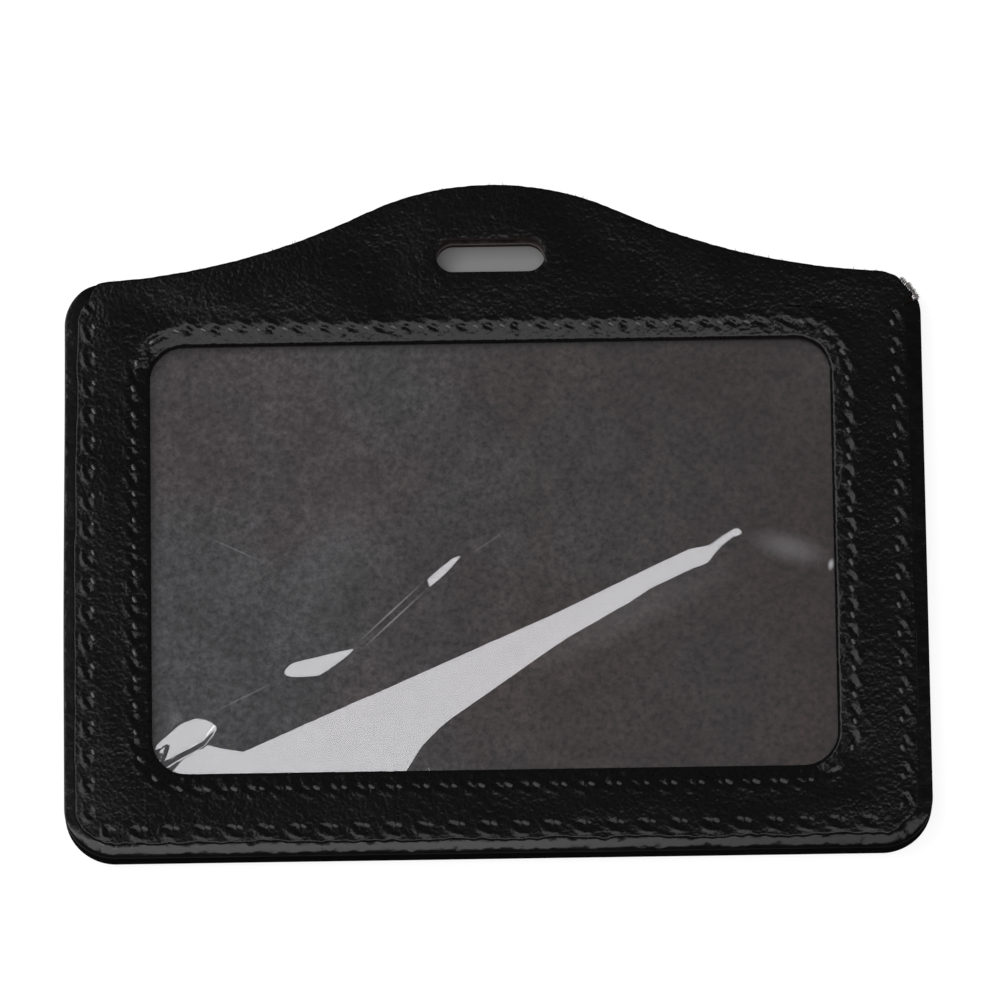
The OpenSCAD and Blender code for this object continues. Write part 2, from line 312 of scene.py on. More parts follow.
bottomShare = smooth(-outlineOut[:, 1], 0.2, 0.8)    # 1 along the bottom, 0 along the sides
sidePitch, bottomPitch = outerSeam["pitch"]
numberSeam(outerSeam, outerRow(), sidePitch * (1 - bottomShare) + bottomPitch * bottomShare)
outerSeam["number"] = outerSeam["number"] + outerSeam["start"]
beyond = outerSeam["number"] > outerSeam["total"] / 2
outerSeam["number"] = outerSeam["number"] - outerSeam["total"] * beyond
windowRow = window + windowOut * windowSeam["margin"]
windowTurns = round(numbered(windowRow, windowSeam["pitch"])[1])
numberSeam(windowSeam, windowRow, numbered(windowRow, 1)[1] / windowTurns)


def leaning(seam, heading):
    # Every stitch slants down to the right, whichever way its seam runs
    return heading - math.radians(seam["lean"]) * np.cos(2 * heading)


def marks(x, y, seam, shift, outward, size, bend=0):
    # 1 at the nearest of a row of slanting oval marks, one to a stitch, fading to 0 round it
    cx, cy, heading = placeAt(seam, np.round(seam["number"] - shift) + shift)
    cx, cy = cx + outward * np.sin(heading), cy - outward * np.cos(heading)
    turn = leaning(seam, heading)
    u = (x - cx) * np.cos(turn) + (y - cy) * np.sin(turn)
    v = (y - cy) * np.cos(turn) - (x - cx) * np.sin(turn) - bend * u ** 2
    return np.exp(-(u / size[0]) ** 2 - (v / size[1]) ** 2)


def seamRelief(x, y, seam):
    shift = 0.5 - seam["hole"] * seam["across"]
    aside = seam["aside"] * (1 - seam["across"]) / 2
    pits = seam["pit"] * marks(x, y, seam, shift, aside, seam["pitSize"])
    swollen = marks(x, y, seam, shift, seam["puckerGap"], seam["puckerSize"], seam["puckerBend"])
    return seam["pucker"] * swollen - pits


def lipDrop(x, y, gap):
    flat = np.maximum(smooth(x, *lip["flatter"]) * smooth(y, windowHigh - lip["flatterTop"], windowHigh),
                      smooth(x, windowX - lip["flatterSide"], windowX))
    fall = np.clip((lip["start"] - gap) / lip["start"], 0, 1)
    fall = (fall ** 2 / (fall + lip["bend"])) * (1 + lip["bend"])
    return lip["drop"] * (1 - lip["flattened"] * flat) * fall


def settling(y, gap):
    # How far the frame sinks towards the window, more so below it
    down, up = slack["belowSpan"]
    under = 1 - smooth(y, windowLow - down, windowLow + up)
    deep = slack["settle"] + (slack["settleBelow"] - slack["settle"]) * under
    return deep * (1 - smooth(gap, *slack["settleSpan"]))


def leatherRelief(x, y, depth, inset, framed):
    # Height of the leather's face over its plain level; depth is the distance in from the outline
    edge = depth - inset
    (left, right), (before, after) = outerSeam["reach"], outerSeam["fade"]
    rise = slack["height"] * waves(x, y, *slack["waves"]) * smooth(edge, 0, slack["calm"])
    rise = rise + seamRelief(x, y, outerSeam) * sideShare((left - before, left), (right, right + after))
    deep, wide = panel["cutRound"]
    rise = rise - deep * (1 - smooth(edge, 0, wide)) ** 2
    if framed:
        gap = fromWindow(x, y)
        rise = rise * (1 - 0.5 * (1 - smooth(gap, *lip["calm"])))
        rise = rise - settling(y, gap)
        rise = rise + seamRelief(x, y, windowSeam)
        ripple = lip["ripple"] * waves(x, y, *lip["ripples"])
        rise = rise - lipDrop(x, y, gap) + ripple * (1 - smooth(gap, *lip["rippled"]))
        rise = rise - lip["roundDrop"] * (1 - smooth(gap, 0, lip["round"])) ** 2
    deep, wide = panel["slotRound"]
    return rise - deep * np.exp(-np.clip(fromSlot(x, y), 0, None) / wide)


def coatWidths():
    # Brushed on by hand, so its width wanders, and it is wider towards the top and on the right
    x, y = outline.T
    long, short = coat["wander"]
    wander = waves(x, y, *long) + 0.7 * waves(x, y, *short)
    broad = smooth(y, *coat["upSpan"]) + 1.2 * smooth(x, *coat["rightSpan"])
    width = coat["width"] + coat["foot"] * bottomShare
    width = width + bead["uneven"] * wander * (1 + 1.5 * bottomShare)
    return width + coat["broader"] * (broad - 0.4)


def keepSharp(bm, crease=50):
    # Edges that turn by more than that many degrees stay sharp
    for edge in bm.edges:
        edge.smooth = edge.calc_face_angle(0) < math.radians(crease)


def newObject(name, bm, materials, crease=50):
    for face in bm.faces:
        face.smooth = True
    keepSharp(bm, crease)
    mesh = bpy.data.meshes.new(name)
    bm.to_mesh(mesh)
    bm.free()
    thing = bpy.data.objects.new(name, mesh)
    bpy.context.scene.collection.objects.link(thing)
    for material in materials:
        mesh.materials.append(material)
    return thing


def gridOf(places):
    # A mesh through rows of places
    rows, columns = places.shape[:2]
    bm = bmesh.new()
    bmesh.ops.create_grid(bm, x_segments=columns - 1, y_segments=rows - 1, size=1)
    for vert, place in zip(bm.verts, places.reshape(-1, 3)):
        vert.co = place
    return bm


def raised(spots, level):
    return np.concatenate([spots, level[..., None]], axis=2)


def wrappedGrid(rings, closedRows=True):
    # Rings of stations, each closed on itself; with closedRows the last ring joins the first
    if closedRows:
        rings = np.concatenate([rings, rings[:1]])
    return gridOf(np.concatenate([rings, rings[:, :1]], axis=1))


def weld(bm):
    bmesh.ops.remove_doubles(bm, verts=bm.verts, dist=0.001 * mm)
    bmesh.ops.recalc_face_normals(bm, faces=bm.faces)


def closeHoles(bm):
    bmesh.ops.holes_fill(bm, edges=[edge for edge in bm.edges if edge.is_boundary], sides=0)
    bmesh.ops.recalc_face_normals(bm, faces=bm.faces)


def thicken(bm, thickness):
    # Down from a sheet's upper face
    bmesh.ops.recalc_face_normals(bm, faces=bm.faces)
    if bm.faces[:][0].normal.z < 0:
        bmesh.ops.reverse_faces(bm, faces=bm.faces)
    bmesh.ops.solidify(bm, geom=bm.faces[:], thickness=thickness)


# Leather panels

panel = {
    "lipRows": 20,
    "nearRows": 4.3 * mm,      # rows this near the window follow its edge
    "middleRows": 11,
    "rimRows": 26,
    "farRows": 5.6 * mm,       # rows this near the outline follow it
    "underRows": 7,
    "thinnest": 0.12 * mm,     # under the needle holes
    "highest": 0.2 * mm,       # above the plain face
    "faceDrop": 0.1 * mm,      # how far the plain face lies below the wallet's full thickness
    "back": 0.06 * mm,         # how far the raw edge stays in from the outline
    "ragged": 0.05 * mm,       # height and length of its unevenness
    "raggedLength": 2.2 * mm,
    "cutRound": (0.16 * mm, 0.28 * mm),    # depth and width of its rounding
    "slotRound": (0.06 * mm, 0.3 * mm),    # and of the slot's
    "rightStep": (18, 30),     # degrees over which the front's right shoulder reaches the outline
    "wearAndPaintedReflection": (24, 34, 46, 60),  # and where it is worn back
    "wornBack": 0.3 * mm,
}


def panelRings(faceLevel, backLevel, sign, framed, raggedSeed):
    # Rings from the window's edge over the grained face to the outline, and back along the inner face
    coated = sideShare(coat["left"], panel["rightStep"] if framed else coat["right"])
    ragged = panel["ragged"] * waves(*outline.T, panel["raggedLength"], raggedSeed)
    inset = coatWidths() * coat["lap"] * coated + (panel["back"] + np.abs(ragged)) * (1 - coated)
    if framed:
        angle = np.where(outline[:, 0] > 0, shoulderAngle(), 0)
        wearAndPaintedReflection = smooth(angle, *panel["wearAndPaintedReflection"][:2]) * (1 - smooth(angle, *panel["wearAndPaintedReflection"][2:]))
        inset = inset + panel["wornBack"] * wearAndPaintedReflection
    near, far = panel["nearRows"], panel["farRows"]
    lipShares = np.linspace(0, 1, panel["lipRows"]) ** 1.25
    face = [(window + windowOut * near * share, np.full(stationCount, far)) for share in lipShares]
    inner, outer = window + windowOut * near, outline - outlineOut * far
    for share in np.linspace(0, 1, panel["middleRows"] + 2)[1:-1]:
        face.append((inner + (outer - inner) * share, np.full(stationCount, far)))
    for share in np.linspace(1, 0, panel["rimRows"]) ** 1.3:
        depth = inset + (far - inset) * share
        face.append((outline - outlineOut * depth[:, None], depth))
    spots = np.array([row[0] for row in face])
    depth = np.array([row[1] for row in face])
    x, y = spots[..., 0], spots[..., 1]
    rise = leatherRelief(x, y, depth, inset, framed)
    rise = np.clip(rise, panel["thinnest"] - abs(faceLevel - backLevel), panel["highest"])
    under = []
    for share in np.linspace(0, 1, panel["underRows"]):
        row = spots[-1] + (spots[0] - spots[-1]) * share
        under.append(np.column_stack([row, np.full(stationCount, backLevel)]))
    return raised(spots, faceLevel + sign * rise), np.array(under)


def cutterFor(low, high, wall, slot):
    bm = bmesh.new()
    bmesh.ops.create_circle(bm, segments=72, radius=wallet["slotWidth"] / 2, cap_ends=True)
    shift = (wallet["slotLength"] - wallet["slotWidth"]) / 2
    for vert in bm.verts:
        vert.co.x += math.copysign(shift, vert.co.x)
        vert.co.y += slotY
        vert.co.z = low
    swept = bmesh.ops.extrude_face_region(bm, geom=bm.faces[:])
    lifted = [item for item in swept["geom"] if isinstance(item, bmesh.types.BMVert)]
    bmesh.ops.translate(bm, verts=lifted, vec=(0, 0, high - low))
    bmesh.ops.recalc_face_normals(bm, faces=bm.faces)
    for face in bm.faces:
        face.material_index = slot
    return newObject("slotPunch", bm, [wall] * (slot + 1))


def punch(thing, low, high, wall, slot=1):
    # The lanyard slot; its wall's material fills that slot of the punched piece
    cutter = cutterFor(low - 1 * mm, high + 1 * mm, wall, slot)
    cut = thing.modifiers.new("slot", "BOOLEAN")
    cut.object, cut.operation, cut.solver = cutter, "DIFFERENCE", "EXACT"
    graph = bpy.context.evaluated_depsgraph_get()
    mesh = bpy.data.meshes.new_from_object(thing.evaluated_get(graph))
    thing.modifiers.clear()
    thing.data = mesh
    bm = bmesh.new()
    bm.from_mesh(mesh)
    bmesh.ops.triangulate(bm, faces=[face for face in bm.faces if len(face.verts) > 4])
    keepSharp(bm)
    bm.to_mesh(mesh)
    bm.free()
    bpy.data.objects.remove(cutter)


def leatherMesh(top, under, closedRows=True):
    # The grained face in the first material, the cut edges and the inner face in the second
    bm = wrappedGrid(np.concatenate([top, under]), closedRows)
    for index, face in enumerate(bm.faces):
        face.material_index = int(index // stationCount >= len(top) - 1)
    weld(bm)
    return bm


def makeFrontLeather():
    bm = leatherMesh(*panelRings(frontHigh - panel["faceDrop"], frontLow, 1, True, 5))
    thing = newObject("frontLeather", bm, [leather, cutEdge, looseFibre])
    punch(thing, frontLow, frontHigh, cutEdge)
    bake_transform(thing)
    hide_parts("front_frame", "front_tab")
    addFibres(thing)


fuzz = {
    # Where loose fibres stand on the raw edge: degrees round the right shoulder, or the whole top
    "pale": {"count": 420, "span": (21, 54), "length": (0.25 * mm, 0.65 * mm), "material": 2},
    "dark": {"count": 70, "span": (24, 400), "length": (0.15 * mm, 0.6 * mm), "material": 1},
    "radius": 0.04 * mm,
    "inside": (0.15 * mm, 0.5 * mm),
    "stray": (0.6, 0.6, 0.3),  # how far they turn from straight out, along each axis
    "level": (0.35, 0.75),     # shares of the leather's thickness
}


def addFibres(thing):
    bm = bmesh.new()
    angle = shoulderAngle()
    pick = random.Random(31)
    for kind in (fuzz["pale"], fuzz["dark"]):
        low, high = kind["span"]
        places = [i for i in range(stationCount) if outline[i, 1] > shoulderY and low < angle[i] < high
                  and (outline[i, 0] > 0 or angle[i] > coat["left"][1])]
        for _ in range(kind["count"]):
            i = pick.choice(places)
            length = pick.uniform(*kind["length"])
            stray = Vector([pick.uniform(-spread, spread) for spread in fuzz["stray"]])
            aim = Vector((*outlineOut[i], 0)) + stray
            root = Vector((*(outline[i] - outlineOut[i] * pick.uniform(*fuzz["inside"])), 0))
            root.z = frontLow + (frontHigh - frontLow) * pick.uniform(*fuzz["level"])
            turn = aim.to_track_quat("Z", "Y").to_matrix().to_4x4()
            place = Matrix.Translation(root + aim.normalized() * length / 2) @ turn
            made = bmesh.ops.create_cone(bm, cap_ends=True, segments=3, radius1=fuzz["radius"],
                                         radius2=fuzz["radius"] / 2, depth=length, matrix=place)
            for face in {face for vert in made["verts"] for face in vert.link_faces}:
                face.material_index = kind["material"]
    bm.from_mesh(thing.data)
    bm.to_mesh(thing.data)
    bm.free()


def makeBackLeather():
    top, under = panelRings(backLow, backHigh, -1, False, 8)
    top[..., 2] = np.maximum(top[..., 2], backLow)
    bm = leatherMesh(top, under, closedRows=False)
    closeHoles(bm)
    thing = newObject("backLeather", bm, [leather, cutEdge])
    punch(thing, backLow, backHigh, cutEdge)
    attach(thing, "case")
    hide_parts("back_panel")


# Edge coat

bead = {
    # Sections from the inner foot round the outside: shares in from the outline, and up
    "sideShares": [(1, 0), (0.45, 0), (0.1, 0), (0.02, 0.015), (0, 0.05), (0, 0.5), (0, 0.93),
                   (0.008, 0.962), (0.03, 0.978), (0.055, 0.9835), (0.075, 0.9852), (0.1, 0.986),
                   (0.3, 0.9865), (0.6, 0.987), (0.9, 0.987), (0.94, 0.9865), (0.985, 0.98),
                   (1, 0.95), (1, 0.45)],
    "footShares": [(1, 0), (0.45, 0), (0.1, 0), (0.015, 0.012), (0, 0.05), (0, 0.45), (0, 0.8),
                   (0.02, 0.858), (0.055, 0.89), (0.1, 0.912), (0.14, 0.922), (0.3, 0.942),
                   (0.5, 0.9615), (0.67, 0.9725), (0.83, 0.9785), (0.93, 0.9795), (0.975, 0.97),
                   (1, 0.93), (1, 0.45)],
    "uneven": 0.06 * mm,
    "wander": (13 * mm, 4),    # length and seed of its height's wander
    "brushed": 0.026 * mm,     # height of the brush marks on the bottom's top side
    "brush": (1.9 * mm, 26, 14),    # their length, seed and count
    "leastWidth": 0.1 * mm,    # where it runs out
    "leastHeight": 0.75,       # share of its height at its very ends
    "footTurn": (0.3, 0.95),   # how far the outline faces down where the foot's section takes over
    "topside": (0.9, 0.92),    # shares of the height from which the brush marks show
}


def makeEdgeCoat():
    share = sideShare(coat["left"], coat["right"])
    kept = share > 0.02
    first = next(i for i in range(stationCount) if kept[i] and not kept[i - 1])
    order = [(first + i) % stationCount for i in range(int(kept.sum()))]
    points, outs, share = outline[order], outlineOut[order], share[order]
    width = np.maximum(coatWidths()[order] * np.sqrt(share), bead["leastWidth"])
    wander = 0.3 * bead["uneven"] * waves(*points.T, *bead["wander"])
    height = np.minimum(frontHigh - backLow - panel["faceDrop"] + wander, frontHigh - backLow)
    height = height * (bead["leastHeight"] + (1 - bead["leastHeight"]) * np.sqrt(share))
    foot = smooth(-outs[:, 1], *bead["footTurn"])[:, None]
    sections = np.array(bead["sideShares"])[None] * (1 - foot[..., None])
    sections = sections + np.array(bead["footShares"])[None] * foot[..., None]
    sections = np.concatenate([sections, sections[:, :1]], axis=1)
    flat = points[:, None] - outs[:, None] * (width[:, None] * sections[..., 0])[..., None]
    level = backLow + height[:, None] * sections[..., 1]
    brushed = bead["brushed"] * waves(flat[..., 0], flat[..., 1], *bead["brush"])
    level = level + brushed * foot * smooth(sections[..., 1], *bead["topside"])
    bm = gridOf(raised(flat, level))
    weld(bm)
    closeHoles(bm)
    thing = newObject("edgeCoat", bm, [edgePaint])
    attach(thing, "case")
    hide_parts("edge_coat")


# Seams

stitch = {
    "thickness": 0.68 * mm,
    "flatness": 0.5,           # how far the thread is pressed flat
    "ply": 0.95,               # its section before the twist, narrow to wide
    "share": 0.46,             # of the pitch, between two needle holes
    "arch": 0.26 * mm,         # how much lower both ends lie
    "dive": 0.2 * mm,          # and how far they go on into the holes
    "twist": 240,              # degrees from end to end
    "pitch": 3.7 * mm,         # that its length is a share of
    "slewed": 5,               # degrees that each lies askew at most
    "pressed": 0.02 * mm,      # how far those that aren't on the front are sunk
    "deeper": 0.05,            # and all by up to this many mm more
    "sides": 8,
    "rings": 7,
}


def stitchMesh():
    # One stitch along +X: two plies twisted together, pressed flat and sunk at both ends
    bm = bmesh.new()
    ring = bmesh.ops.create_circle(bm, segments=stitch["sides"], radius=stitch["thickness"] / 2)["verts"]
    bmesh.ops.scale(bm, verts=ring, vec=(stitch["ply"], 1, 1))
    bmesh.ops.rotate(bm, verts=ring, cent=(0, 0, 0), matrix=Matrix.Rotation(math.pi / 2, 3, "Y"))
    loops = [ring]
    edges = bm.edges[:]
    for _ in range(1, stitch["rings"]):
        grown = bmesh.ops.extrude_edge_only(bm, edges=edges)
        ring = [item for item in grown["geom"] if isinstance(item, bmesh.types.BMVert)]
        edges = [item for item in grown["geom"] if isinstance(item, bmesh.types.BMEdge)
                 and all(vert in ring for vert in item.verts)]
        turn = math.radians(stitch["twist"]) / (stitch["rings"] - 1)
        bmesh.ops.rotate(bm, verts=ring, cent=(0, 0, 0), matrix=Matrix.Rotation(turn, 3, "X"))
        loops.append(ring)
    bmesh.ops.scale(bm, verts=bm.verts, vec=(1, 1, stitch["flatness"]))
    for k, ring in enumerate(loops):
        share = 2 * k / (stitch["rings"] - 1) - 1
        drop = stitch["arch"] * share ** 2 + stitch["dive"] * share ** 6
        bmesh.ops.translate(bm, verts=ring, vec=(share / 2, 0, -drop))
    closeHoles(bm)
    mesh = bpy.data.meshes.new("stitch")
    bm.to_mesh(mesh)
    bm.free()
    return mesh


def makeSeam(name, node, seam, level, sign, first, last):
    one = stitchMesh()
    bm = bmesh.new()
    span = stitch["pitch"] * stitch["share"]
    pick = random.Random(name)
    for k in range(first, last):
        x, y, heading = placeAt(seam, k + 0.5)
        heading = leaning(seam, heading) + math.radians(pick.uniform(-stitch["slewed"], stitch["slewed"]))
        sunk = seam["crest"] + leatherFall(x, y) if level == frontHigh else stitch["pressed"]
        sunk = sunk + pick.uniform(0, stitch["deeper"]) * mm
        before = len(bm.verts)
        bm.from_mesh(one)
        bm.verts.ensure_lookup_table()
        fresh = bm.verts[before:]
        bmesh.ops.scale(bm, verts=fresh, vec=(span, 1, sign))
        bmesh.ops.rotate(bm, verts=fresh, cent=(0, 0, 0), matrix=Matrix.Rotation(heading, 3, "Z"))
        sunk = sunk + (panel["faceDrop"] if sign > 0 else 0) + stitch["thickness"] * stitch["flatness"] / 2
        bmesh.ops.translate(bm, verts=fresh, vec=(x, y, level - sign * sunk))
    bmesh.ops.recalc_face_normals(bm, faces=bm.faces)
    bpy.data.meshes.remove(one)
    thing = newObject(name, bm, [thread], crease=80)
    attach(thing, "case")
    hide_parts(node)


def leatherFall(x, y):
    # How much lower the leather lies beside the window than elsewhere
    x, y = np.array([x]), np.array([y])
    gap = fromWindow(x, y)
    return float((lipDrop(x, y, gap) + settling(y, gap))[0])


def makeSeams():
    # Stitches on the outer seam run from one end, round the bottom, to the other
    left, right = (np.abs(shoulderAngle() - angle) for angle in outerSeam["reach"])
    left = np.where(outline[:, 0] < 0, left, 999).argmin()
    right = np.where(outline[:, 0] > 0, right, 999).argmin()
    outer = math.ceil(outerSeam["number"][left] - 0.2), math.floor(outerSeam["number"][right] + 0.2)
    inner = 0, windowTurns
    makeSeam("outerNeedleThread", "outer_needle_thread", outerSeam, frontHigh, 1, *outer)
    makeSeam("outerBobbinThread", "outer_bobbin_thread", outerSeam, backLow, -1, *outer)
    makeSeam("windowNeedleThread", "window_needle_thread", windowSeam, frontHigh, 1, *inner)
    makeSeam("windowBobbinThread", "window_bobbin_thread", windowSeam, filmLow - 0.1 * mm, -1, *inner)


# Window film

film = {
    # Cell sizes from each place on, and before the first
    "columns": ((-44.4 * mm, 0.2 * mm), (-3 * mm, 0.33 * mm), (31.8 * mm, 0.95 * mm)),
    "rows": ((-34 * mm, 0.22 * mm), (-4.5 * mm, 0.33 * mm), (-1 * mm, 0.95 * mm)),
    "coarse": 0.95 * mm,
    "soft": 0.2 * mm,          # rounding of each crease
    "foldFrom": (-32.4 * mm, -30.5 * mm),    # where the long fold's places are counted from
    "foldHeading": 23.9,       # degrees
    "foldTilt": 6.7,           # degrees of the face below the fold
    "ease": (25 * mm, 14 * mm),    # over which it comes back to its level above and below the fold
    "deepest": 11 * mm,        # width of that face beyond which it goes on under the frame
    "lift": 0.25,              # part of the fold's height that stands above the film's level
    "slackHeight": 0.006 * mm,
    "slackWaves": (26 * mm, 3),    # length and seed
    "leanFrom": -28.8 * mm,    # where a crease whose lower edge leans stands in place
    "range": (-1.1 * mm, 0.7 * mm),    # lowest and highest
    "held": 3.4 * mm,          # from the window's edge to where the seam holds it flat
}
# The long fold: places along it, and how far its upper and lower edges lie to its right there
fold = {
    "places": [-10, -9.1, -7.8, -5.8, -3.7, -2.2, 0, 8, 14, 18, 21, 25, 33, 43, 49, 53, 56, 60, 62.6,
               64, 65, 67, 69, 69.6, 70],
    "upper": [-0.9, -1.42, -1.97, -2.77, -2.7, -1.5, 0, 0, 0, 0, 0, 0, 0, 0, -0.2, -0.35, -0.45,
              -0.55, -0.6, -0.25, -0.1, -0.5, -0.75, -0.4, 0],
    "lower": [-0.8, 0.5, 2.5, 8, 14, 17, 19, 18, 14.6, 10.6, 8.6, 7.1, 5.6, 3.7, 3.1, 2.7, 2.2, 2.1,
              2.05, 2.15, 1.8, 0.95, 0.5, 0.3, 0.1],
}
# Small creases beside the fold: places across the window, upper and lower edges there, and their
# form: tilt in degrees, share of their fall that is taken back above them, how far the ways back
# reach above and below, in millimetres, and how far the places of the lower edge move across for
# each step up
creases = {
    "blob": {
        "x": [-43.5, -43.1, -42.7, -42.2, -41.9, -41.5, -41.4, -40.7, -40.3, -39.65, -39, -38.2, -37.1,
              -36.7, -36.35, -35.6],
        "high": [-29.75, -29.31, -28.97, -28.55, -28.31, -27.98, -27.9, -27.33, -27, -26.62, -26.24,
                 -25.99, -26.13, -26.31, -26.5, -26.95],
        "low": [-29.8, -29.85, -30, -29.6, -29.37, -28.95, -31.45, -31.2, -30.96, -30.28, -29.88, -29.45,
                -28.64, -27.75, -27, -26.98],
        "form": (7.6, 0, 1, 1.2, 0.43),
    },
    "streak": {
        "x": [-27.2, -26.9, -26.5, -25.9, -25, -23.7, -22.6, -21.6, -20.6, -19.6, -18.7, -18, -17.3],
        "high": [-20.2, -19.8, -19.2, -18.82, -18.6, -18.29, -18.04, -17.81, -17.56, -17.32, -17.11,
                 -16.9, -16.5],
        "low": [-20.25, -20.5, -20.74, -20.78, -20.83, -20.75, -20.68, -20.07, -19.42, -18.67, -18.01,
                -17.4, -16.55],
        "form": (6.6, 0.5, 4, 4),
    },
    "tip": {
        "x": [-8.9, -8.5, -8, -7, -6.2, -5.5, -4.8, -4.2, -3.4],
        "high": [-8.5, -7.8, -7.4, -6.5, -5.86, -5.33, -5.0, -4.8, -4.65],
        "low": [-8.6, -9.35, -9, -8.15, -7.45, -6.7, -5.9, -5.2, -4.66],
        "form": (6.4, 0.3, 4, 4),
    },
}


def turnedInto(x, y, start, heading):
    # Distances along a line and to its right
    c, s = math.cos(math.radians(heading)), math.sin(math.radians(heading))
    dx, dy = x - start[0], y - start[1]
    return dx * c + dy * s, dx * s - dy * c


def ramp(value):
    return (value + np.sqrt(value ** 2 + film["soft"] ** 2)) / 2


def table(along, places, values):
    # A curve through values given at places, both in millimetres
    return np.interp(along / mm, places, values) * mm


def crease(x, y, places, high, low, tilt, lift, above, below, lean=0):
    # A narrow slope between two lines, with gentle ways back to the film's level above and below it
    slope = math.tan(math.radians(tilt))
    top, bottom = table(x, places, high), table(x - lean * (y - film["leanFrom"]), places, low)
    near = [x + shift * mm for shift in (-2, -1.5, -1, -0.5, 0, 0.5, 1, 1.5, 2)]
    swell = lift * slope * sum(table(at, places, high) - table(at, places, low) for at in near) / 9
    rise = swell * (1 - smooth(y - top, 0, above * mm)) - slope * (ramp(top - y) - ramp(bottom - y))
    return rise + (slope * (top - bottom) - swell) * smooth(bottom - y, 0, below * mm)


def filmRise(x, y):
    along, across = turnedInto(x, y, film["foldFrom"], film["foldHeading"])
    upper = table(along, fold["places"], fold["upper"])
    lower = table(along, fold["places"], fold["lower"])
    slope = math.tan(math.radians(film["foldTilt"]))
    above, below = film["ease"]
    rise = -slope * (ramp(across - upper) - ramp(across - lower))
    fall = slope * np.clip(lower, 0, film["deepest"])
    rise = rise + fall * film["lift"] * (1 - smooth(upper - across, 0, above))
    rise = rise + fall * (1 - film["lift"]) * smooth(across - lower, 0, below)
    for shape in creases.values():
        rise = rise + crease(x, y, shape["x"], shape["high"], shape["low"], *shape["form"])
    return rise + film["slackHeight"] * waves(x, y, *film["slackWaves"])


def gradedTo(low, high, zones):
    # Places from low to high, as close together as each zone says
    starts = [low] + [zone[0] for zone in zones]
    cells = [film["coarse"]] + [zone[1] for zone in zones]
    parts = [np.linspace(a, b, max(2, round((b - a) / cell)), endpoint=False)
             for a, b, cell in zip(starts, [*starts[1:], high], cells)]
    return np.concatenate([*parts, [high]])


def makeWindowFilm():
    low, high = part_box("window_film")
    columns = gradedTo(low.x, high.x, film["columns"])
    rows = gradedTo(low.y, high.y, film["rows"])
    x, y = np.meshgrid(columns, rows)
    rise = filmRise(x, y) * (1 - smooth(fromWindow(x, y), 0, film["held"]))
    rise = np.clip(rise, *film["range"])
    bm = gridOf(np.stack([x, y, filmHigh + rise], axis=2))
    thicken(bm, filmHigh - filmLow)
    thing = newObject("windowFilm", bm, [clearFilm])
    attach(thing, "case")
    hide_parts("window_film")


# Lining cloth

cloth = {
    "loft": 0.05 * mm,         # unevenness of the nap
    "waves": (7 * mm, 41),     # its length and seed
    "rings": 40,
    "skip": 3,                 # stations from one point of its rim to the next
    "middle": 5 * mm,          # reach of the hole that the rings leave
}


def makeLiningCloth():
    # Cut to the wallet's outline and glued on the board, with a little unevenness in its nap
    low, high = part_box("pocket_lining")
    middle = np.array([0, windowY])
    rim = (outline - outlineOut * (sideX - high.x))[::cloth["skip"]]
    shares = np.linspace(1, 0.02, cloth["rings"])[:, None, None]
    spots = middle + (rim - middle) * shares
    nap = waves(spots[..., 0], spots[..., 1], *cloth["waves"])
    rise = -cloth["loft"] * (0.5 + 0.5 * np.clip(nap / 1.6, -1, 1))
    bm = wrappedGrid(raised(spots, high.z + rise), closedRows=False)
    weld(bm)
    inner = [edge for edge in bm.edges if edge.is_boundary
             and (edge.verts[0].co.xy - Vector(middle)).length < cloth["middle"]]
    bmesh.ops.holes_fill(bm, edges=inner, sides=0)
    thicken(bm, high.z - low.z - cloth["loft"])
    thing = newObject("liningCloth", bm, [liningCloth])
    punch(thing, low.z, high.z, liningCloth, 0)
    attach(thing, "case")
    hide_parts("pocket_lining")


# Materials

def feed(tree, node, sockets):
    # Sets each socket to its value, or links it to its source
    for name, source in sockets.items():
        if isinstance(source, bpy.types.NodeSocket):
            tree.links.new(source, node.inputs[name])
        else:
            node.inputs[name].default_value = source


def add(tree, kind, sockets=None, **settings):
    # The settings go in first, because they decide which sockets a node has
    made = tree.nodes.new(kind)
    for name, value in settings.items():
        setattr(made, name, value)
    feed(tree, made, sockets or {})
    return made


def materialNamed(name):
    made = bpy.data.materials.new(name)
    made.use_nodes = True
    tree = made.node_tree
    return made, tree, tree.nodes["Principled BSDF"], add(tree, "ShaderNodeTexCoord").outputs["Object"]


def axes(tree, spot):
    return add(tree, "ShaderNodeSeparateXYZ", {"Vector": spot}).outputs


def noise(tree, spot, scale, detail, roughness=0.5, **more):
    sockets = {"Vector": spot, "Scale": scale, "Detail": detail, "Roughness": roughness, **more}
    return add(tree, "ShaderNodeTexNoise", sockets).outputs["Fac"]


def maths(tree, operation, *values):
    return add(tree, "ShaderNodeMath", dict(enumerate(values)), operation=operation).outputs[0]


def rescaled(tree, value, low, high, toLow=0, toHigh=1, **settings):
    sockets = {"Value": value, "From Min": low, "From Max": high, "To Min": toLow, "To Max": toHigh}
    return add(tree, "ShaderNodeMapRange", sockets, **settings).outputs["Result"]


def mix(tree, share, first, second, **settings):
    sockets = {"Factor": share, "A": first, "B": second}
    return add(tree, "ShaderNodeMix", sockets, **settings).outputs["Result"]


def multiplied(tree, first, second):
    return mix(tree, 1.0, first, second, data_type="RGBA", blend_type="MULTIPLY")


def bumped(tree, height, strength, distance, **more):
    sockets = {"Height": height, "Strength": strength, "Distance": distance, **more}
    return add(tree, "ShaderNodeBump", sockets).outputs["Normal"]


def rampOf(tree, source, stops):
    made = add(tree, "ShaderNodeValToRGB", {"Fac": source})
    while len(made.color_ramp.elements) < len(stops):
        made.color_ramp.elements.new(0.5)
    for element, (place, colour) in zip(made.color_ramp.elements, stops):
        element.position = place
        element.color = (*colour, 1)
    return made.outputs["Color"]


def grey(level):
    return (level, level, level)


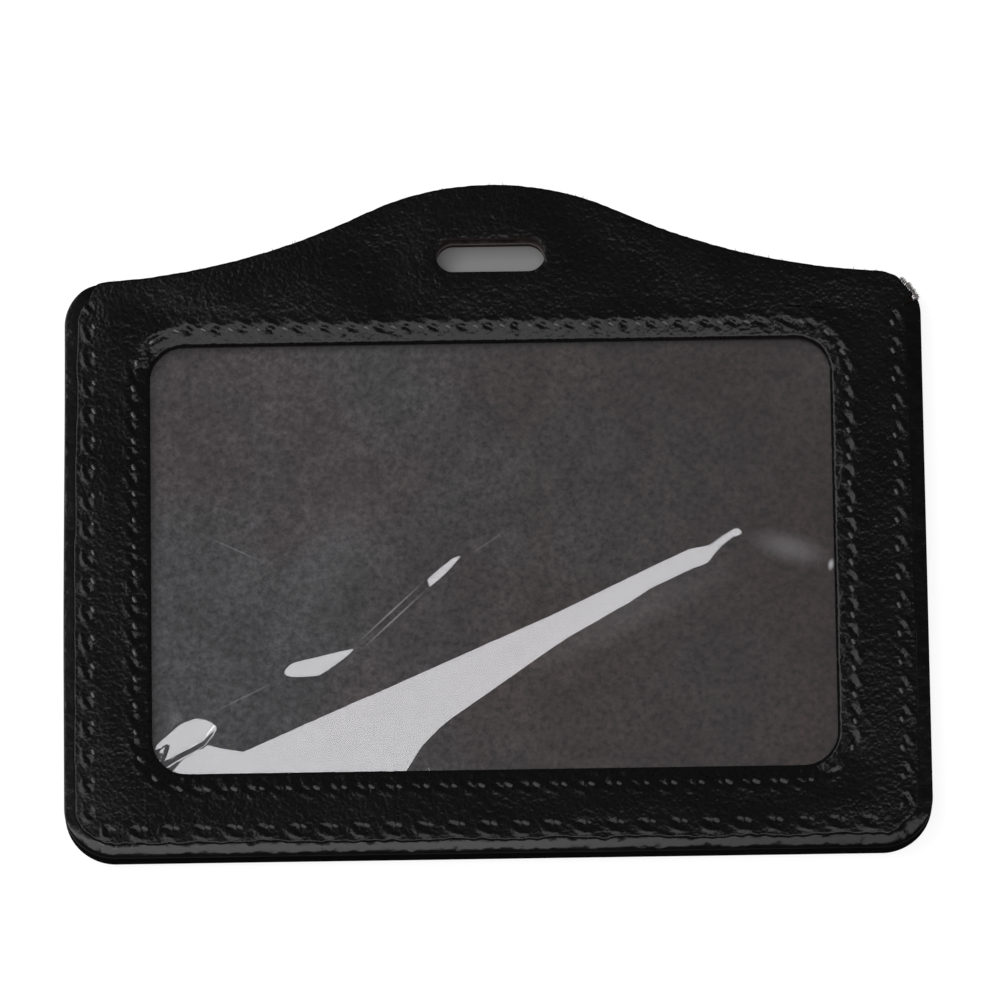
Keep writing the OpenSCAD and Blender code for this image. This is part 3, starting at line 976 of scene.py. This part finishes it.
wearAndPaintedReflectionSpan = (-30 * mm, 40 * mm)    # the thread's roughness and the lining's painted reflection change from left to right between these


def makeLeather():
    made, tree, shader, spot = materialNamed("coatedLeather")
    pebble = add(tree, "ShaderNodeTexVoronoi", {"Vector": spot, "Scale": 2000, "Smoothness": 0.4},
                 feature="SMOOTH_F1")
    fine = noise(tree, spot, 4200, 3, 0.6)
    broad = noise(tree, spot, 160, 4, 0.6)
    swell = noise(tree, spot, 1000, 1)
    height = maths(tree, "MULTIPLY_ADD", fine, 0.6, pebble.outputs["Distance"])
    feed(tree, shader, {
        "Base Color": rampOf(tree, height, [(0.25, (0.0008, 0.0008, 0.0009)),
                                            (0.8, (0.0034, 0.0032, 0.0032))]),
        "Roughness": rampOf(tree, broad, [(0.3, grey(0.13)), (0.7, grey(0.19))]),
        "Normal": bumped(tree, height, 1.0, 0.024 * mm, Normal=bumped(tree, swell, 1.0, 0.045 * mm)),
        "Specular IOR Level": 0.1,
    })
    return made


def makeCutEdge():
    # Coating over a brown-grey fibre core, seen on raw edges and in the slot
    made, tree, shader, spot = materialNamed("cutLeatherEdge")
    fibre = noise(tree, spot, 1500, 5, 0.7)
    patches = noise(tree, spot, 120, 2)
    core = rampOf(tree, fibre, [(0.3, (0.045, 0.024, 0.023)), (0.7, (0.09, 0.054, 0.05))])
    feed(tree, shader, {
        "Base Color": mix(tree, patches, core, (0.028, 0.018, 0.018, 1), data_type="RGBA"),
        "Normal": bumped(tree, fibre, 0.9, 0.05 * mm),
        "Roughness": 0.9,
        "Specular IOR Level": 0.2,
    })
    return made


def makeRaw(name, grain, dark, pale, rough, relief=None):
    # Plain matter: one grain gives its colour and its relief
    made, tree, shader, spot = materialNamed(name)
    height = noise(tree, spot, *grain)
    colour = rampOf(tree, height, [(0.3, dark), (0.7, pale)])
    feed(tree, shader, {"Base Color": colour, "Roughness": rough})
    if relief:
        feed(tree, shader, {"Normal": bumped(tree, height, *relief)})
    return made


def makeEdgePaint():
    # Glossy on its top, less so to the right, and dull on its wall
    made, tree, shader, spot = materialNamed("edgePaint")
    dabs = noise(tree, spot, 620, 3, 0.5)
    dust = noise(tree, spot, 2600, 2)
    place = axes(tree, spot)
    wall = maths(tree, "LESS_THAN", rescaled(tree, place["Z"], backLow, frontHigh), 0.8)
    across = rescaled(tree, place["X"], 0, 45 * mm, 0.155, 0.09)
    feed(tree, shader, {
        "Base Color": rampOf(tree, dabs, [(0.35, grey(0.0015)), (0.75, grey(0.0035))]),
        "Roughness": mix(tree, wall, 0.16, 0.8),
        "Normal": bumped(tree, dust, 1.0, 0.003 * mm, Normal=bumped(tree, dabs, 1.0, 0.07 * mm)),
        "Specular IOR Level": mix(tree, wall, across, 0.03),
    })
    return made


def makeThread():
    # Duller to the right and along the bottom
    made, tree, shader, spot = materialNamed("twistedThread")
    strands = noise(tree, spot, 5200, 2)
    place = axes(tree, spot)
    right = rescaled(tree, place["X"], *wearAndPaintedReflectionSpan, 0.42, 0.56)
    foot = rescaled(tree, place["Y"], -37 * mm, -30 * mm, 0.3, 0)
    feed(tree, shader, {
        "Base Color": rampOf(tree, strands, [(0.3, grey(0.012)), (0.75, grey(0.04))]),
        "Roughness": maths(tree, "ADD", right, foot),
        "Normal": bumped(tree, strands, 0.5, 0.04 * mm),
        "Specular IOR Level": 0.6,
    })
    return made


def makeLining():
    # Napped cloth, dark grey, with faint brown patches that are painted reflection in the film over it
    made, tree, shader, spot = materialNamed("napCloth")
    nap = noise(tree, spot, 1400, 4, 0.65)
    tuft = rampOf(tree, noise(tree, spot, 520, 3), [(0.3, grey(0.78)), (0.7, grey(1.0))])
    cloud = rampOf(tree, noise(tree, spot, 150, 4, 0.6), [(0.38, grey(0.68)), (0.64, grey(1.0))])
    # Faint brown patches: painted reflection of the room in the film, not the cloth's own colour
    patch = noise(tree, spot, 38, 2, Distortion=0.6)
    paintedReflectionTint = rampOf(tree, patch, [(0.42, grey(1.0)), (0.62, (1.0, 0.80, 0.78))])
    colour = rampOf(tree, nap, [(0.34, (0.024, 0.0225, 0.023)), (0.68, (0.100, 0.093, 0.094))])
    colour = multiplied(tree, colour, multiplied(tree, tuft, cloud))
    # Darker and browner to the right: painted reflection, lighter and bluer on the left where the film
    # mirrors more of the room
    place = axes(tree, spot)
    across = rescaled(tree, place["X"], *wearAndPaintedReflectionSpan)
    wearAndPaintedReflection = rampOf(tree, across, [(0.1, (0.98, 1.06, 1.10)), (0.5, (0.75, 0.71, 0.70)),
                                 (0.95, (0.60, 0.50, 0.49))])
    feed(tree, shader, {
        "Base Color": multiplied(tree, multiplied(tree, colour, paintedReflectionTint), wearAndPaintedReflection),
        "Roughness": 0.95,
        "Normal": bumped(tree, nap, 0.6, 0.12 * mm),
        "Specular IOR Level": 0.1,
        "Sheen Weight": 0.05,
    })
    return made


# Cloudy places in the film: middle, heading in degrees, half length and half width, and how
# cloudy each is. The one at (-33, -3.8) is a scratch; the haze at (37.5, -4.6) and (42.8, -6.9) and the
# twin lines at (-13.4, -12.4) and (-12.9, -13.3) are painted highlights where creases would mirror the light
cloudsAndPaintedGlints = [
    {"middle": (37.5, -4.6), "heading": -17, "size": (6.5, 2.6), "cloud": 0.05},
    {"middle": (42.8, -6.9), "heading": 80, "size": (1.0, 0.5), "cloud": 0.3},
    {"middle": (17, -13), "heading": 26, "size": (22, 3.5), "cloud": 0.018},
    {"middle": (-33, -3.8), "heading": -25.6, "size": (6, 0.12), "cloud": 0.06},
    {"middle": (-0.6, -3.2), "heading": 34, "size": (4.5, 0.14), "cloud": 0.045},
    {"middle": (-32, -23.2), "heading": 26, "size": (6, 0.2), "cloud": 0.05},
    {"middle": (-21, -4), "heading": 70, "size": (16, 6), "cloud": 0.01},
    {"middle": (-13.4, -12.4), "heading": 43, "size": (7.4, 0.17), "cloud": 0.12},
    {"middle": (-12.9, -13.3), "heading": 43, "size": (7.2, 0.17), "cloud": 0.12},
]


def ovalCloud(tree, spot, middle, heading, size, cloud):
    # Cloudiness that fades out evenly from the middle of an oval
    turn = add(tree, "ShaderNodeMapping", {
        "Vector": spot,
        "Location": (middle[0] * mm, middle[1] * mm, filmHigh),
        "Rotation": (0, 0, math.radians(heading)),
        "Scale": (size[0] * mm, size[1] * mm, 1),
    }, vector_type="TEXTURE")
    away = add(tree, "ShaderNodeVectorMath", {"Vector": turn.outputs["Vector"]}, operation="LENGTH")
    return rescaled(tree, away.outputs["Value"], 0, 1, cloud, 0, interpolation_type="SMOOTHSTEP")


def mixShader(tree, share, first, second):
    return add(tree, "ShaderNodeMixShader", {"Fac": share, 1: first.outputs[0], 2: second.outputs[0]})


def makeClearFilm():
    # Clear sheet: its outer face mirrors a little, it hazes a little and lets the rest through
    made, tree, shader, spot = materialNamed("clearFilm")
    tree.nodes.remove(shader)
    rough = rampOf(tree, noise(tree, spot, 55, 4, 0.7), [(0.35, grey(0.035)), (0.8, grey(0.09))])
    mirror = add(tree, "ShaderNodeBsdfGlossy", {"Color": (0.98, 0.97, 1.0, 1), "Roughness": rough})
    through = add(tree, "ShaderNodeBsdfTransparent", {"Color": (0.97, 0.97, 0.97, 1)})
    haze = add(tree, "ShaderNodeBsdfDiffuse", {"Color": (0.78, 0.77, 0.80, 1)})
    bright = add(tree, "ShaderNodeFresnel", {"IOR": 1.8}).outputs["Fac"]
    inner = add(tree, "ShaderNodeNewGeometry").outputs["Backfacing"]
    share = maths(tree, "MULTIPLY", bright, maths(tree, "MULTIPLY_ADD", inner, -1, 1))
    # The veil is a faint even haze plus the cloudy places, some of which are painted highlights
    veil = 0.008
    for mark in cloudsAndPaintedGlints:
        veil = maths(tree, "ADD", veil, ovalCloud(tree, spot, **mark))
    both = mixShader(tree, share, mixShader(tree, veil, through, haze), mirror)
    feed(tree, tree.nodes["Material Output"], {"Surface": both.outputs[0]})
    return made


leather = makeLeather()
cutEdge = makeCutEdge()
looseFibre = makeRaw("looseFibre", (2500, 2), (0.13, 0.11, 0.11), (0.30, 0.27, 0.27), 0.8)
edgePaint = makeEdgePaint()
thread = makeThread()
liningCloth = makeLining()
greyBoard = makeRaw("greyBoard", (800, 5, 0.7), (0.20, 0.19, 0.18), (0.36, 0.34, 0.32), 0.92,
                    (0.7, 0.06 * mm))
fillerStrip = makeRaw("fillerStrip", (1200, 4), grey(0.010), grey(0.024), 0.8, (0.6, 0.05 * mm))
clearFilm = makeClearFilm()
print("materials made")


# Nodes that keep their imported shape

def dress(name, material):
    thing = nodes[name]
    thing.data.materials.clear()
    thing.data.materials.append(material)


dress("stiffener_board", greyBoard)
dress("edge_filler", fillerStrip)

makeFrontLeather()
makeBackLeather()
print("leather made")
makeEdgeCoat()
makeSeams()
makeLiningCloth()
makeWindowFilm()
print("coat, seams, lining and film made")


# Stage, light and camera

studio = {
    # Each light: the sideways and lengthways angles it spans, seen from the wallet, and its height
    "overhead": {"across": (-16, 14.5), "along": (-20, 6.5), "height": 1.7, "radiance": 5.9},
    "key": {"across": (-42, -13), "along": (-2, 30), "height": 0.8, "radiance": 6.4},
    "world": 0.2,
    "floorGrey": 0.2,
    "floorGlow": 0.85,         # on top of the lit floor
    "floorReach": 3,           # metres from the middle to each side
}


def softBox(name, across, along, height, radiance):
    # A flat panel overhead that fills those angles
    left, right, near, far = (math.tan(math.radians(angle)) * height for angle in (*across, *along))
    data = bpy.data.lights.new(name, "AREA")
    data.shape, data.size, data.size_y = "RECTANGLE", right - left, far - near
    data.energy = radiance * math.pi * data.size * data.size_y
    thing = bpy.data.objects.new(name, data)
    thing.location = ((left + right) / 2, (near + far) / 2, height)
    bpy.context.scene.collection.objects.link(thing)


def makeStage():
    for name in ("overhead", "key"):
        softBox(name, **studio[name])

    world = bpy.data.worlds.new("studio")
    bpy.context.scene.world = world
    world.use_nodes = True
    tree = world.node_tree
    seen = add(tree, "ShaderNodeLightPath").outputs["Is Camera Ray"]
    dim = tree.nodes["Background"]
    feed(tree, dim, {"Color": (*grey(studio["world"]), 1)})
    white = add(tree, "ShaderNodeBackground", {"Color": (1, 1, 1, 1), "Strength": 1.0})
    both = mixShader(tree, seen, dim, white)
    feed(tree, tree.nodes["World Output"], {"Surface": both.outputs[0]})

    # Only the camera sees the floor's glow; a patch under the slot gets none, painted shade that keeps the
    # floor seen through the slot dark grey
    made, tree, shader, spot = materialNamed("paleFloor")
    seen = add(tree, "ShaderNodeLightPath").outputs["Is Camera Ray"]
    place = axes(tree, spot)
    beside = maths(tree, "GREATER_THAN", maths(tree, "ABSOLUTE", place["X"]), wallet["slotLength"])
    beyond = maths(tree, "GREATER_THAN", place["Y"], slotY + wallet["slotWidth"])
    before = maths(tree, "LESS_THAN", place["Y"], bottomY / 2)
    clear = maths(tree, "MAXIMUM", maths(tree, "MAXIMUM", beside, beyond), before)
    glow = maths(tree, "MULTIPLY", maths(tree, "MULTIPLY", seen, clear), studio["floorGlow"])
    feed(tree, shader, {
        "Base Color": (*grey(studio["floorGrey"]), 1),
        "Roughness": 0.9,
        "Specular IOR Level": 0.0,
        "Emission Color": (1, 1, 1, 1),
        "Emission Strength": glow,
    })
    bm = bmesh.new()
    bmesh.ops.create_grid(bm, x_segments=1, y_segments=1, size=studio["floorReach"])
    floor = newObject("floor", bm, [made])


lens = {
    "aim": (0.765 * mm, 3.08 * mm, 0),
    "distance": 1436.6 * mm,
    "elevation": 74.8,         # degrees above the floor
    "roll": -0.856,
    "pixels": 11235,           # focal length, of a picture 1000 pixels wide
}


def makeCamera():
    rise, roll = math.radians(lens["elevation"]), math.radians(lens["roll"])
    back = Vector((0, -math.cos(rise), math.sin(rise)))
    side, upright = Vector((1, 0, 0)), back.cross(Vector((1, 0, 0)))
    right = side * math.cos(roll) + upright * math.sin(roll)
    up = upright * math.cos(roll) - side * math.sin(roll)
    place = Vector(lens["aim"]) + back * lens["distance"]
    data = bpy.data.cameras.new("camera")
    data.sensor_width = 36
    data.lens = lens["pixels"] / 1000 * data.sensor_width
    data.clip_start, data.clip_end = 0.05, 20
    thing = bpy.data.objects.new("camera", data)
    thing.matrix_world = Matrix((right, up, back)).transposed().to_4x4()
    thing.location = place
    bpy.context.scene.collection.objects.link(thing)
    bpy.context.scene.camera = thing


makeStage()
makeCamera()
bpy.context.scene.view_settings.view_transform = "Standard"
print("stage and camera made")
